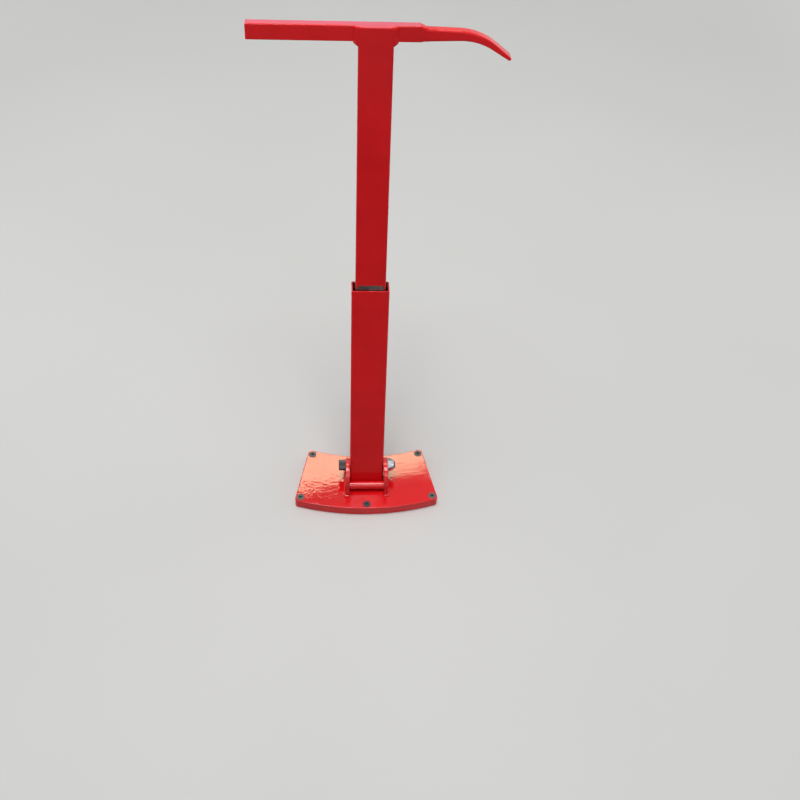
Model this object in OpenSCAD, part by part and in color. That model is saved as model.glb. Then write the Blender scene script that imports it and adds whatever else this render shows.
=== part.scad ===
// Magnetic manhole cover lifter: an arc-shaped magnet base, a hinged sleeve between two ears,
// and a plug-in tube handle whose cross bar is a grip on one side and a forged pick on the other.
// Millimetres. +Z up, +X towards the pick, -Y towards the side the handle folds down to.
// Origin: underside of the base, midway along its depth, on its line of symmetry.

/* [Base] */
// Radius of the long front edge of the arc-shaped base
base_r_out = 370; // [330:1:500]
// Depth of the base from its front arc to its back arc
base_depth = 95; // [85:1:120]
// Width of the base across its two front corners
base_front_w = 217; // [200:1:250]
// Width of the base across its two back corners
base_back_w = 175; // [162:1:200]
// Radius of the four corners seen from above
base_corner_r = 5; // [3:0.5:10]
// Thickness of the steel top plate
top_plate_t = 6; // [4:0.5:12]
// Thickness of the magnet housing under the top plate
housing_t = 10; // [8:0.5:20]
// Thickness of the wear sheet under the magnets
wear_t = 1; // [0.5:0.5:3]

/* [Magnets] */
// Number of magnet blocks along the arc
magnet_count = 6; // [2:1:8]
// Distance of the outer blocks from the sides of the base, halfway along them
magnet_margin = 8; // [6:0.5:16]
// Length of one block across the arc
magnet_len = 50; // [30:1:60]
// Housing metal left between two blocks, halfway along them
magnet_gap = 5; // [3:0.5:8]
// Gap between a block and each wall of its pocket
magnet_clear = 0.1; // [0.05:0.05:0.3]

/* [Plate screws] */
// Thread diameter of the countersunk screws
screw_d = 6; // [4:0.5:6]
// Diameter of the countersunk head
screw_head_d = 11.5; // [9.5:0.5:13]
// Depth left free under the tip of a screw
screw_tip_gap = 2; // [0.5:0.5:5]
// Width across flats of the hexagon socket
screw_hex = 4; // [3:0.5:5]
// Depth of the hexagon socket
screw_hex_depth = 2.2; // [1.5:0.1:3]
// Distance of the screws from the edges of the base
screw_inset = 7.5; // [7:0.5:11]
// Chamfer at the tip of a screw
screw_chamfer = 0.75; // [0.25:0.25:1.5]
// Clearance of the screw shank in the top plate, on the diameter
screw_clear = 0.6; // [0.2:0.1:1]

/* [Ears] */
// Width of an ear from front to back, half of it the radius of its round top
ear_w = 50; // [46:1:64]
// Height of an ear above the pivot
ear_over = 17; // [14:0.5:24]
// Thickness of an ear
ear_t = 6; // [4:0.5:10]
// Gap between the sleeve and each ear
ear_side_gap = 0.5; // [0.4:0.1:3]
// Leg of the weld bead round the foot of an ear
ear_weld_leg = 4; // [2:0.5:6]

/* [Pivot] */
// Distance of the pivot behind the middle of the base
pivot_y = 11.5; // [8:0.5:14]
// Least gap between the top plate and the sleeve's foot as it swings
swing_clear = 1; // [0.5:0.5:5]
// Thread diameter of the pivot bolt
bolt_d = 10; // [8:0.5:11]
// Length of the bolt that shows beyond the nut
bolt_show = 2; // [1:0.5:10]
// Diameter of the bolt's head
bolt_head_d = 16; // [13:0.5:20]
// Height of the bolt's head
bolt_head_h = 10; // [7:0.5:14]
// Width across flats of the bolt's hexagon socket
bolt_hex = 8; // [5:0.5:9]
// Chamfer round the bolt's head and at its end
bolt_chamfer = 1; // [0.5:0.25:1.5]
// Depth of the bolt's hexagon socket
bolt_hex_depth = 5; // [3:0.5:8]
// Clearance of the bolt in the ears, on the diameter
bolt_clear = 0.5; // [0.2:0.1:1]
// Width across flats of the lock nut
nut_af = 17; // [16:0.5:20]
// Height of the hexagon of the lock nut
nut_hex_h = 7; // [5.5:0.5:8.5]
// Height of the lock nut with its collar
nut_h = 10; // [8.5:0.5:12]
// Step from the flats of the lock nut in to its collar
collar_step = 1; // [0.5:0.25:1.5]
// Metal of the lock nut's collar round the nylon ring
insert_wall = 0.6; // [0.4:0.1:0.8]
// Outer diameter of the bush welded across the sleeve
bush_d = 16; // [13:0.5:20]
// Running gap between the bush and the bolt, all round
bush_clear = 0.05; // [0.02:0.01:0.1]
// Gap between each end of the bush and its ear
bush_end_clear = 0.3; // [0.1:0.1:0.5]

/* [Stop bar] */
// Diameter of the stop bar between the ears
stop_d = 12; // [8:0.5:14]
// Angle at which the sleeve leans back when it rests on the stop bar
rest_lean = 12; // [5:0.5:18]
// Gap between the stop bar and the sleeve when the sleeve is folded down flat
fold_clear = 1; // [0.5:0.5:5]
// Least length of sleeve below the line where it rests on the stop bar
foot_margin = 1; // [0.5:0.5:8]
// Gap left between two pieces that rest on each other and come apart
seat_clear = 0.3; // [0.1:0.1:1]

/* [Sleeve] */
// Width of the rectangular sleeve
sleeve_w = 50; // [40:0.5:70]
// Depth of the sleeve from front to back
sleeve_d = 25; // [22:0.5:32]
// Wall of the sleeve
sleeve_wall = 2; // [1.5:0.1:2.5]
// Outer corner radius of the sleeve
sleeve_corner_r = 3; // [2.5:0.25:5]
// Length of the sleeve above the pivot
sleeve_up = 322; // [250:1:420]

/* [Handle tube] */
// Gap between the tube and each side wall of the sleeve
tube_side_gap = 3; // [0.5:0.25:5]
// Gap between the tube and the sleeve's front and back walls
tube_depth_gap = 0.5; // [0.4:0.1:2]
// Wall of the handle tube
tube_wall = 2; // [1.5:0.1:2.5]
// Outer corner radius of the handle tube
tube_corner_r = 3; // [2.5:0.25:4]
// Length of the tube that shows above the sleeve
tube_show = 343; // [200:1:450]
// Length of the tube inside the sleeve
tube_insert = 160; // [80:1:240]
// Diameter of the cross pin that the tube stands on inside the sleeve
rest_pin_d = 10; // [6:0.5:14]

/* [Cross bar] */
// Reach of the cross bar to the grip side, from the tube's middle
bar_reach = 144; // [80:1:200]
// Reach of the cross bar to the pick, from the tube's middle
bar_stub = 49; // [30:1:90]
// Height of the cross bar
bar_h = 18; // [14:0.5:24]
// Distance of the cross bar behind the front of the tube
bar_setback = 6; // [4:0.5:9]
// Radius of the long edges of the cross bar
bar_edge_r = 1.5; // [0.5:0.25:3]
// Thickness of the strip that closes the tube in front of the bar
cap_t = 3; // [2:0.5:10]
// Leg of the weld beads between the cross bar and the tube
bar_weld_leg = 5; // [3:0.5:8]

/* [Pick] */
// Straight length of the pick next to the cross bar
pick_root_len = 45; // [20:1:80]
// Radius of the pick's downward bend
pick_bend_r = 70; // [40:1:120]
// Angle of the pick's downward bend
pick_bend = 34; // [15:1:45]
// Straight length of the pick's tip
pick_tip_len = 23; // [15:1:50]
// Step from the top of the cross bar down to the top of the pick
pick_drop = 2.75; // [0.5:0.25:4]
// Step from the underside of the cross bar up to the underside of the pick
pick_rise = 0.25; // [0.25:0.25:2]
// Step from the cross bar in to the pick, in front and behind
pick_step_w = 1; // [0.25:0.25:2]
// Thickness of the chisel edge at the tip
pick_tip_h = 3.5; // [3:0.5:8]
// Width of the chisel edge at the tip
pick_tip_w = 18.5; // [8:0.5:26]
// Forged edge radius of the pick at the cross bar
pick_root_r = 3; // [1.5:0.25:4]
// Edge radius at the tip
pick_tip_r = 1; // [0.5:0.1:1.5]
// Length of the weld collar at the root of the pick
pick_weld_len = 7.5; // [3:0.5:12]

/* [Hidden] */

$fn = 96;
// Facets of the long arcs of the base
arc_fn = 720;
// Distance by which a cutting shape passes a face
cut = 1;
// Gap between a thread and its hole, all round
thread_clear = 0.05;

red = "#b3121a";
steel = "#8d9196";
zinc = "#c9ced2";
black = "#26282b";
nylon = "#e8e6dc";

// Base: heights of its layers and the arc's centre
base_r_in = base_r_out - base_depth;
arc_y = base_r_in + base_depth / 2;
housing_z = wear_t;
plate_z = housing_z + housing_t;
plate_top = plate_z + top_plate_t;

// Base outline, measured from the arc's centre: the sharp corners and the straight side between them
corner_front = [base_front_w / 2, -sqrt(pow(base_r_out, 2) - pow(base_front_w / 2, 2))];
corner_back = [base_back_w / 2, -sqrt(pow(base_r_in, 2) - pow(base_back_w / 2, 2))];
side_dir = (corner_front - corner_back) / norm(corner_front - corner_back);
side_in = [side_dir[1], -side_dir[0]];

// The point a given distance inside the side edge and a given radius from the arc's centre
function inside_side(inset, radius) =
    let (q = corner_front + inset * side_in,
         along = q * side_dir)
    q + side_dir * (-along + sqrt(along * along - q * q + radius * radius));

round_front = inside_side(base_corner_r, base_r_out - base_corner_r);
round_back = inside_side(base_corner_r, base_r_in + base_corner_r);

// Screws: four in the corners and one in the middle of each long edge
screw_r_front = base_r_out - screw_inset;
screw_r_back = base_r_in + screw_inset;
screw_front = inside_side(screw_inset, screw_r_front);
screw_back = inside_side(screw_inset, screw_r_back);
screw_places = [
    screw_front, [-screw_front[0], screw_front[1]], [0, -screw_r_front],
    screw_back, [-screw_back[0], screw_back[1]], [0, -screw_r_back]];
screw_head_h = (screw_head_d - screw_d) / 2;
screw_len = top_plate_t + housing_t - screw_tip_gap;

// Magnets: blocks spread evenly along the middle of the base
magnet_r = base_r_in + base_depth / 2;
magnet_pitch = ((base_front_w + base_back_w) / 2 - 2 * magnet_margin) / magnet_count;
magnet_w = magnet_pitch - magnet_gap;
magnet_step = magnet_pitch / magnet_r * 180 / PI;

// The next half millimetre at or above a length
function round_up(v) = ceil(2 * v) / 2;

// Stop bar: ahead of the pivot so that the sleeve's front face rests on it at the chosen lean,
// and below it so that the sleeve lies flat over it when folded down
stop_drop = sleeve_d / 2 + stop_d / 2 + fold_clear;
stop_ahead = (sleeve_d / 2 + stop_d / 2 + seat_clear + stop_drop * sin(rest_lean)) / cos(rest_lean);
sleeve_down = round_up(stop_ahead * sin(rest_lean) + stop_drop * cos(rest_lean) + foot_margin);
pivot_h = round_up(norm([sleeve_d / 2, sleeve_down]) + swing_clear);
pivot_z = plate_top + pivot_h;
stop_y = pivot_y - stop_ahead;
stop_z = pivot_z - stop_drop;

// Ears, bolt and lock nut
ear_gap = sleeve_w + 2 * ear_side_gap;
ear_outer = ear_gap / 2 + ear_t;
ear_h = pivot_h + ear_over;
ear_arc_z = plate_top + ear_h - ear_w / 2;
bolt_len = 2 * ear_outer + nut_h + bolt_show;
bush_len = ear_gap - 2 * bush_end_clear;
collar_h = nut_h - nut_hex_h;
collar_d = nut_af - 2 * collar_step;
collar_top_d = collar_d - collar_h / 2;
insert_d = collar_top_d - 2 * insert_wall;
insert_h = collar_h - insert_wall;

// Sleeve and handle, measured along the sleeve's axis from the pivot
tube_w = sleeve_w - 2 * sleeve_wall - 2 * tube_side_gap;
tube_d = sleeve_d - 2 * sleeve_wall - 2 * tube_depth_gap;
tube_foot = sleeve_up - tube_insert;
tube_top = sleeve_up + tube_show;
rest_pin_z = tube_foot - seat_clear - rest_pin_d / 2;
bar_z = tube_top - bar_h;
bar_d = tube_d - bar_setback;
bar_front = tube_d / 2 - bar_d;
bar_mid = tube_d / 2 - bar_d / 2;

// Pick: its section at the cross bar, stations along its path and points round each section
pick_root_h = bar_h - pick_drop - pick_rise;
pick_root_w = bar_d - 2 * pick_step_w;
pick_shift = (pick_rise - pick_drop) / 2;
pick_bend_len = pick_bend_r * pick_bend * PI / 180;
pick_len = pick_root_len + pick_bend_len + pick_tip_len;
pick_steps = 26;
pick_stations = [0, for (k = [0:pick_steps]) pick_weld_len + (pick_len - pick_weld_len) * k / pick_steps];
pick_corner_steps = 4;
pick_ring = 4 * (pick_corner_steps + 1);
// How soon the pick thins out: above 1 it loses its height near the root, below 1 near the tip
pick_taper = 0.85;

// Places children, drawn along the sleeve's axis from the pivot, at the lean the sleeve rests at
module leaned() {
    translate([0, pivot_y, pivot_z])
        rotate([-rest_lean, 0, 0])
            children();
}

// Rectangle with rounded corners, centred
module rounded_rect(w, d, r) {
    square([w - 2 * r, d], center = true);
    square([w, d - 2 * r], center = true);
    for (x = [-1, 1], y = [-1, 1])
        translate([x * (w / 2 - r), y * (d / 2 - r)])
            circle(r = r);
}

// Rectangular tube with rounded corners, standing on z
module box_tube(w, d, wall, r, z, h) {
    translate([0, 0, z])
        linear_extrude(h)
            difference() {
                rounded_rect(w, d, r);
                rounded_rect(w - 2 * wall, d - 2 * wall, r - wall);
            }
}

// Hexagonal prism given by its width across flats
module hex_prism(af, h) {
    cylinder(d = af / cos(30), h = h, $fn = 6);
}

// Weld bead round a rectangular foot: a sloped skirt on the plane z = 0.
// low and high are the foot's corners; legs are the bead's legs at low x, high x, low y and high y.
module weld_skirt(low, high, legs, h) {
    difference() {
        polyhedron(
            points = [
                [low[0] - legs[0], low[1] - legs[2], 0], [high[0] + legs[1], low[1] - legs[2], 0],
                [high[0] + legs[1], high[1] + legs[3], 0], [low[0] - legs[0], high[1] + legs[3], 0],
                [low[0], low[1], h], [high[0], low[1], h], [high[0], high[1], h], [low[0], high[1], h]],
            faces = [[0, 1, 2, 3], [7, 6, 5, 4], [4, 5, 1, 0], [5, 6, 2, 1], [6, 7, 3, 2], [7, 4, 0, 3]]);
        translate([low[0], low[1], -cut])
            cube([high[0] - low[0], high[1] - low[1], h + 2 * cut]);
    }
}

// Plan of the base: a band between two arcs, with straight sides and rounded corners
module base_outline() {
    core = [round_front * 1.2, round_front, round_back, round_back * 0.8];
    side = base_corner_r * -side_in;
    translate([0, arc_y]) {
        intersection() {
            difference() {
                circle(r = base_r_out, $fn = arc_fn);
                circle(r = base_r_in, $fn = arc_fn);
            }
            polygon(concat(core, [for (k = [3:-1:0]) [-core[k][0], core[k][1]]]));
        }
        for (turn = [0, 1])
            mirror([turn, 0]) {
                polygon([round_front, round_front + side, round_back + side, round_back]);
                translate(round_front)
                    circle(r = base_corner_r);
                translate(round_back)
                    circle(r = base_corner_r);
            }
    }
}

// Puts children at each screw of the base
module at_screws() {
    for (p = screw_places)
        translate([p[0], arc_y + p[1]])
            children();
}

// Plan of the magnet blocks, each grown by a clearance
module magnet_plan(clear) {
    translate([0, arc_y])
        for (k = [0:magnet_count - 1])
            rotate((k - (magnet_count - 1) / 2) * magnet_step)
                translate([0, -magnet_r])
                    square([magnet_w + 2 * clear, magnet_len + 2 * clear], center = true);
}

module top_plate() {
    color(red)
        difference() {
            translate([0, 0, plate_z])
                linear_extrude(top_plate_t)
                    base_outline();
            at_screws() {
                translate([0, 0, plate_z - cut])
                    cylinder(d = screw_d + screw_clear, h = top_plate_t + 2 * cut);
                translate([0, 0, plate_top - screw_head_h])
                    cylinder(d1 = screw_d, d2 = screw_head_d, h = screw_head_h);
            }
        }
}

module magnet_housing() {
    color(red)
        difference() {
            translate([0, 0, housing_z])
                linear_extrude(housing_t)
                    difference() {
                        base_outline();
                        magnet_plan(magnet_clear);
                    }
            at_screws()
                translate([0, 0, housing_z - cut])
                    cylinder(d = screw_d + 2 * thread_clear, h = housing_t + 2 * cut);
        }
}

module magnets() {
    color(steel)
        translate([0, 0, housing_z])
            linear_extrude(housing_t)
                magnet_plan(0);
}

module wear_plate() {
    color(steel)
        linear_extrude(wear_t)
            base_outline();
}

// Countersunk screw, its head flush with the top plate
module plate_screw() {
    translate([0, 0, plate_top])
        difference() {
            union() {
                translate([0, 0, -screw_head_h])
                    cylinder(d1 = screw_d, d2 = screw_head_d, h = screw_head_h);
                translate([0, 0, screw_chamfer - screw_len])
                    cylinder(d = screw_d, h = screw_len - screw_head_h - screw_chamfer);
                translate([0, 0, -screw_len])
                    cylinder(d1 = screw_d - 2 * screw_chamfer, d2 = screw_d, h = screw_chamfer);
            }
            translate([0, 0, -screw_hex_depth])
                hex_prism(screw_hex, screw_hex_depth + cut);
        }
}

module plate_screws() {
    color(black)
        at_screws()
            plate_screw();
}

// Ear: a flat bar with a round top, drilled for the pivot bolt and the stop bar
module ear(x) {
    color(red)
        translate([x, 0, 0])
            rotate([90, 0, 90])
                linear_extrude(ear_t)
                    difference() {
                        intersection() {
                            translate([-ear_w / 2, plate_top])
                                square([ear_w, ear_h]);
                            union() {
                                translate([-ear_w / 2, plate_top])
                                    square([ear_w, ear_arc_z - plate_top]);
                                translate([0, ear_arc_z])
                                    circle(d = ear_w);
                            }
                        }
                        translate([pivot_y, pivot_z])
                            circle(d = bolt_d + bolt_clear);
                        translate([stop_y, stop_z])
                            circle(d = stop_d);
                    }
}

module ear_left() {
    ear(-ear_outer);
}

module ear_right() {
    ear(ear_gap / 2);
}

module ear_weld_left() {
    color(red)
        translate([0, 0, plate_top])
            weld_skirt([-ear_outer, -ear_w / 2], [-ear_gap / 2, ear_w / 2],
                [ear_weld_leg, 0, ear_weld_leg, ear_weld_leg], ear_weld_leg);
}

module ear_weld_right() {
    color(red)
        translate([0, 0, plate_top])
            weld_skirt([ear_gap / 2, -ear_w / 2], [ear_outer, ear_w / 2],
                [0, ear_weld_leg, ear_weld_leg, ear_weld_leg], ear_weld_leg);
}

// Round bar through both ears, flush with their outer faces
module stop_bar() {
    color(red)
        translate([-ear_outer, stop_y, stop_z])
            rotate([0, 90, 0])
                cylinder(d = stop_d, h = 2 * ear_outer);
}

// Places children, drawn along +z, on the pivot axis from a given x towards +x
module on_pivot(x) {
    translate([x, pivot_y, pivot_z])
        rotate([0, 90, 0])
            children();
}

module pivot_bolt() {
    color(black)
        on_pivot(-ear_outer)
            difference() {
                union() {
                    translate([0, 0, -bolt_head_h])
                        cylinder(d1 = bolt_head_d - 2 * bolt_chamfer, d2 = bolt_head_d, h = bolt_chamfer);
                    translate([0, 0, bolt_chamfer - bolt_head_h])
                        cylinder(d = bolt_head_d, h = bolt_head_h - bolt_chamfer);
                    cylinder(d = bolt_d, h = bolt_len - bolt_chamfer);
                    translate([0, 0, bolt_len - bolt_chamfer])
                        cylinder(d1 = bolt_d, d2 = bolt_d - 2 * bolt_chamfer, h = bolt_chamfer);
                }
                translate([0, 0, -bolt_head_h - cut])
                    hex_prism(bolt_hex, bolt_hex_depth + cut);
            }
}

// Lock nut: a hexagon with a round collar that holds the nylon ring
module pivot_nut() {
    flat_r = nut_af / 2;
    corner_r = flat_r / cos(30);
    bevel = (corner_r - flat_r) / 2;
    color(zinc)
        on_pivot(ear_outer)
            difference() {
                union() {
                    intersection() {
                        hex_prism(nut_af, nut_hex_h);
                        rotate_extrude()
                            polygon([[0, 0], [flat_r, 0], [corner_r, bevel], [corner_r, nut_hex_h - bevel],
                                [flat_r, nut_hex_h], [0, nut_hex_h]]);
                    }
                    rotate_extrude()
                        polygon([[0, nut_hex_h / 2], [collar_d / 2, nut_hex_h / 2],
                            [collar_d / 2, nut_h - collar_h / 2], [collar_top_d / 2, nut_h], [0, nut_h]]);
                }
                translate([0, 0, -cut])
                    cylinder(d = bolt_d + 2 * thread_clear, h = nut_h + 2 * cut);
                translate([0, 0, nut_h - insert_h])
                    cylinder(d = insert_d, h = insert_h + cut);
            }
}

module nut_insert() {
    color(nylon)
        on_pivot(ear_outer + nut_h - insert_h)
            difference() {
                cylinder(d = insert_d, h = insert_h);
                translate([0, 0, -cut])
                    cylinder(d = bolt_d + 2 * thread_clear, h = insert_h + 2 * cut);
            }
}

// Cylinder across the sleeve, centred on its middle, at a height along its axis
module cross_round(d, w, z) {
    translate([0, 0, z])
        rotate([0, 90, 0])
            cylinder(d = d, h = w, center = true);
}

module lower_sleeve() {
    color(red)
        leaned()
            difference() {
                box_tube(sleeve_w, sleeve_d, sleeve_wall, sleeve_corner_r, -sleeve_down, sleeve_up + sleeve_down);
                cross_round(bush_d, sleeve_w + 2 * cut, 0);
                cross_round(rest_pin_d, sleeve_w + 2 * cut, rest_pin_z);
            }
}

module pivot_bush() {
    color(steel)
        leaned()
            difference() {
                cross_round(bush_d, bush_len, 0);
                cross_round(bolt_d + 2 * bush_clear, bush_len + 2 * cut, 0);
            }
}

// Pin through the sleeve's sides that the handle tube stands on
module rest_pin() {
    color(red)
        leaned()
            cross_round(rest_pin_d, sleeve_w, rest_pin_z);
}

// Tube with a step cut into the back of its top, where the cross bar lies
module handle_tube() {
    color(red)
        leaned()
            difference() {
                box_tube(tube_w, tube_d, tube_wall, tube_corner_r, tube_foot, tube_top - tube_foot);
                translate([-tube_w / 2 - cut, bar_front, bar_z])
                    cube([tube_w + 2 * cut, bar_d + cut, bar_h + cut]);
            }
}

// Strip that closes the tube's top between its front wall and the cross bar
module tube_cap() {
    color(red)
        leaned()
            translate([0, 0, tube_top - cap_t])
                linear_extrude(cap_t)
                    intersection() {
                        rounded_rect(tube_w - 2 * tube_wall, tube_d - 2 * tube_wall, tube_corner_r - tube_wall);
                        translate([-tube_w / 2, -tube_d / 2])
                            square([tube_w, bar_setback]);
                    }
}

module cross_bar() {
    color(red)
        leaned()
            translate([-bar_reach, bar_mid, tube_top - bar_h / 2])
                rotate([90, 0, 90])
                    linear_extrude(bar_reach + bar_stub)
                        rounded_rect(bar_d, bar_h, bar_edge_r);
}

// Weld round the cross bar where it leaves one side of the tube: in front of it and under it
module bar_weld(side) {
    front_leg = bar_setback - tube_corner_r;
    color(red)
        leaned()
            mirror([side < 0 ? 1 : 0, 0, 0])
                translate([tube_w / 2, 0, tube_top])
                    rotate([0, 90, 0])
                        weld_skirt([0, bar_front], [bar_h, tube_d / 2 - tube_corner_r],
                            [0, bar_weld_leg, front_leg, 0], bar_weld_leg);
}

module bar_weld_left() {
    bar_weld(-1);
}

module bar_weld_right() {
    bar_weld(1);
}

// Point and slope of the pick's middle line at a distance from its root
function pick_at(s) =
    s <= pick_root_len ? [s, 0, 0] :
    let (a = min(s - pick_root_len, pick_bend_len) / pick_bend_r * 180 / PI,
         rest = max(s - pick_root_len - pick_bend_len, 0))
    [pick_root_len + pick_bend_r * sin(a) + rest * cos(a),
     -pick_bend_r * (1 - cos(a)) - rest * sin(a), a];

// Points round a rounded rectangle, as pairs of depth and height from its middle
function ring_points(w, h, r) =
    [for (q = [0:3], k = [0:pick_corner_steps])
        let (turn = 90 * q + 90 * k / pick_corner_steps)
        [(q == 0 || q == 3 ? 1 : -1) * (w / 2 - r) + r * cos(turn),
         (q < 2 ? 1 : -1) * (h / 2 - r) + r * sin(turn)]];

// The pick's section at a distance from its root: even under the weld collar, then thinner and wider
function pick_section(s) =
    let (t = max(s - pick_weld_len, 0) / (pick_len - pick_weld_len),
         h = pick_tip_h + (pick_root_h - pick_tip_h) * pow(max(1 - t, 0), pick_taper),
         w = pick_root_w + (pick_tip_w - pick_root_w) * t,
         r = pick_root_r + (pick_tip_r - pick_root_r) * t,
         p = pick_at(s))
    [for (q = ring_points(w, h, r))
        [p[0] + q[1] * sin(p[2]), q[0], pick_shift + p[1] + q[1] * cos(p[2])]];

// Faces between two neighbouring rings of points
function ring_faces(from, to) =
    [for (j = [0:pick_ring - 1])
        let (a = from * pick_ring + j,
             b = from * pick_ring + (j + 1) % pick_ring,
             c = to * pick_ring + (j + 1) % pick_ring,
             d = to * pick_ring + j)
        each [[a, b, c], [a, c, d]]];

module pick_body() {
    last = len(pick_stations) - 1;
    points = [for (s = pick_stations) each pick_section(s)];
    sides = [for (k = [0:last - 1]) each ring_faces(k, k + 1)];
    ends = [[for (j = [pick_ring - 1:-1:0]) j], [for (j = [0:pick_ring - 1]) last * pick_ring + j]];
    polyhedron(points = points, faces = concat(sides, ends));
}

// Places the pick's root on the middle of the cross bar's end
module on_bar_end() {
    leaned()
        translate([bar_stub, bar_mid, tube_top - bar_h / 2])
            children();
}

module pick() {
    color(red)
        on_bar_end()
            pick_body();
}

// Weld collar that blends the cross bar's end into the root of the pick
module pick_weld() {
    bar_end = [for (q = ring_points(bar_d, bar_h, bar_edge_r)) [0, q[0], q[1]]];
    points = concat(bar_end, pick_section(pick_weld_len), pick_section(0));
    color(red)
        on_bar_end()
            polyhedron(points = points, faces = concat(ring_faces(0, 1), ring_faces(1, 2), ring_faces(2, 0)));
}

top_plate();
magnet_housing();
magnets();
wear_plate();
plate_screws();
ear_left();
ear_right();
ear_weld_left();
ear_weld_right();
stop_bar();
pivot_bolt();
pivot_nut();
nut_insert();
lower_sleeve();
pivot_bush();
rest_pin();
handle_tube();
tube_cap();
cross_bar();
bar_weld_left();
bar_weld_right();
pick();
pick_weld();
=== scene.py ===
"""A magnetic hand lifter: its paint, steel and welds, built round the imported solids."""

import math

import bpy
from mathutils import Matrix, Vector


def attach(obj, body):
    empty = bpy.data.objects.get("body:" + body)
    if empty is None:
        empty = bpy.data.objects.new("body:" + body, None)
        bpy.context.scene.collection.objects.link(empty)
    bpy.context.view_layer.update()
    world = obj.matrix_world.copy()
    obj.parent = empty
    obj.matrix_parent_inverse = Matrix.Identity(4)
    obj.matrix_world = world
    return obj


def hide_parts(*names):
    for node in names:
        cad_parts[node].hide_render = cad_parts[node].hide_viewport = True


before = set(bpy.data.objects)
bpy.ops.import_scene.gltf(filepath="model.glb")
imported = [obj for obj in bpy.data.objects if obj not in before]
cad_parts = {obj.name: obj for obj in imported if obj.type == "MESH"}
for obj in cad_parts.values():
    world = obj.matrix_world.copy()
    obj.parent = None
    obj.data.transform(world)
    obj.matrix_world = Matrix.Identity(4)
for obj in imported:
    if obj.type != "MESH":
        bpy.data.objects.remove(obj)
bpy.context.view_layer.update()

# Sizes of the solids, in metres
MM = 0.001
LEAN = math.radians(12.0)
PIVOT = Vector((0.0, 11.5, 46.0)) * MM
UP_HANDLE = Vector((0.0, math.sin(LEAN), math.cos(LEAN)))
BACK_OF_HANDLE = Vector((0.0, math.cos(LEAN), -math.sin(LEAN)))
PLATE_TOP = 17.0 * MM
EAR_INNER = 25.5 * MM
EAR_OUTER = 31.5 * MM
EAR_HALF = 25.0 * MM
STOP_BAR = Vector((0.0, -11.86, 26.5)) * MM
STOP_BAR_R = 6.0 * MM
SLEEVE_HALF_W = 25.0 * MM
SLEEVE_HALF_D = 12.5 * MM
SLEEVE_WALL = 2.0 * MM
SLEEVE_MOUTH = 322.0 * MM
TUBE_HALF_W = 20.0 * MM
TUBE_HALF_D = 10.0 * MM
TUBE_WALL = 2.0 * MM
TUBE_TOP = 665.0 * MM
BAR_UNDER = 647.0 * MM
BAR_FRONT = -4.0 * MM
PICK_SEAM = 56.5 * MM
NUT_OUTER = 41.5 * MM
BOLT_HEAD_END = 41.5 * MM
BOLT_HEAD_R = 8.0 * MM
BOLT_CHAMFER = 1.0 * MM
SOCKET_FLATS = 8.0 * MM
SOCKET_DEEP = 5.0 * MM
KNURLS = 64
FLUTE_WAIST = 0.968
HOUSING_TOP = 11.0 * MM
SCREW_REACH = 6.8 * MM
SCREWS_APART = 15.0 * MM
TUBE_MIDDLE = 300.0 * MM

# Edge roundings, and the slack with which an edge or wall is looked for
SLACK = 0.1 * MM
HOLE_RIM_ROUND = 0.3 * MM
PLATE_RIM_ROUND = 1.2 * MM
PLATE_RIM_PROFILE = 0.4
SEAM_ROUND = 0.25 * MM
SHEET_ROUND = 0.3 * MM
SCREW_ROUND = 0.15 * MM
EAR_ROUND = 0.7 * MM
STOP_BAR_ROUND = 0.8 * MM
BOLT_END_ROUND = 0.2 * MM
NUT_ROUND = 0.25 * MM
SLEEVE_ROUND = 0.6 * MM
PIN_ROUND = 0.4 * MM
TUBE_FOOT_ROUND = 0.4 * MM
TUBE_TOP_ROUND = 1.4 * MM
BAR_ROUND = 1.0 * MM
PICK_ROUND = 0.5 * MM


def on_handle(across, back, up):
    """The point at these distances from the pivot, along the leaning handle's own directions."""
    return PIVOT + Vector((across, 0.0, 0.0)) + BACK_OF_HANDLE * back + UP_HANDLE * up


def handle_place(point):
    """A point's distances from the pivot, along the leaning handle's own directions."""
    away = point - PIVOT
    return Vector((away.x, away.dot(BACK_OF_HANDLE), away.dot(UP_HANDLE)))


# Shaping tools


def clear_selection():
    if bpy.context.mode != "OBJECT":
        bpy.ops.object.mode_set(mode="OBJECT")
    bpy.ops.object.select_all(action="DESELECT")


def take(piece):
    """Makes a piece the only one that the next operators act on."""
    clear_selection()
    piece.select_set(True)
    bpy.context.view_layer.objects.active = piece


def apply_modifier(piece, modifier):
    take(piece)
    bpy.ops.object.modifier_apply(modifier=modifier.name)


def copy_of_solid(node, name):
    """A copy of a solid with its loose triangles joined and its flat faces made whole."""
    piece = bpy.data.objects.new(name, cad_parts[node].data.copy())
    bpy.context.scene.collection.objects.link(piece)
    take(piece)
    bpy.ops.mesh.customdata_custom_splitnormals_clear()
    bpy.ops.object.mode_set(mode="EDIT")
    bpy.ops.mesh.select_all(action="SELECT")
    bpy.ops.mesh.remove_doubles(threshold=0.004 * MM)
    bpy.ops.mesh.dissolve_limited(angle_limit=math.radians(0.2))
    bpy.ops.object.mode_set(mode="OBJECT")
    return piece


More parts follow.
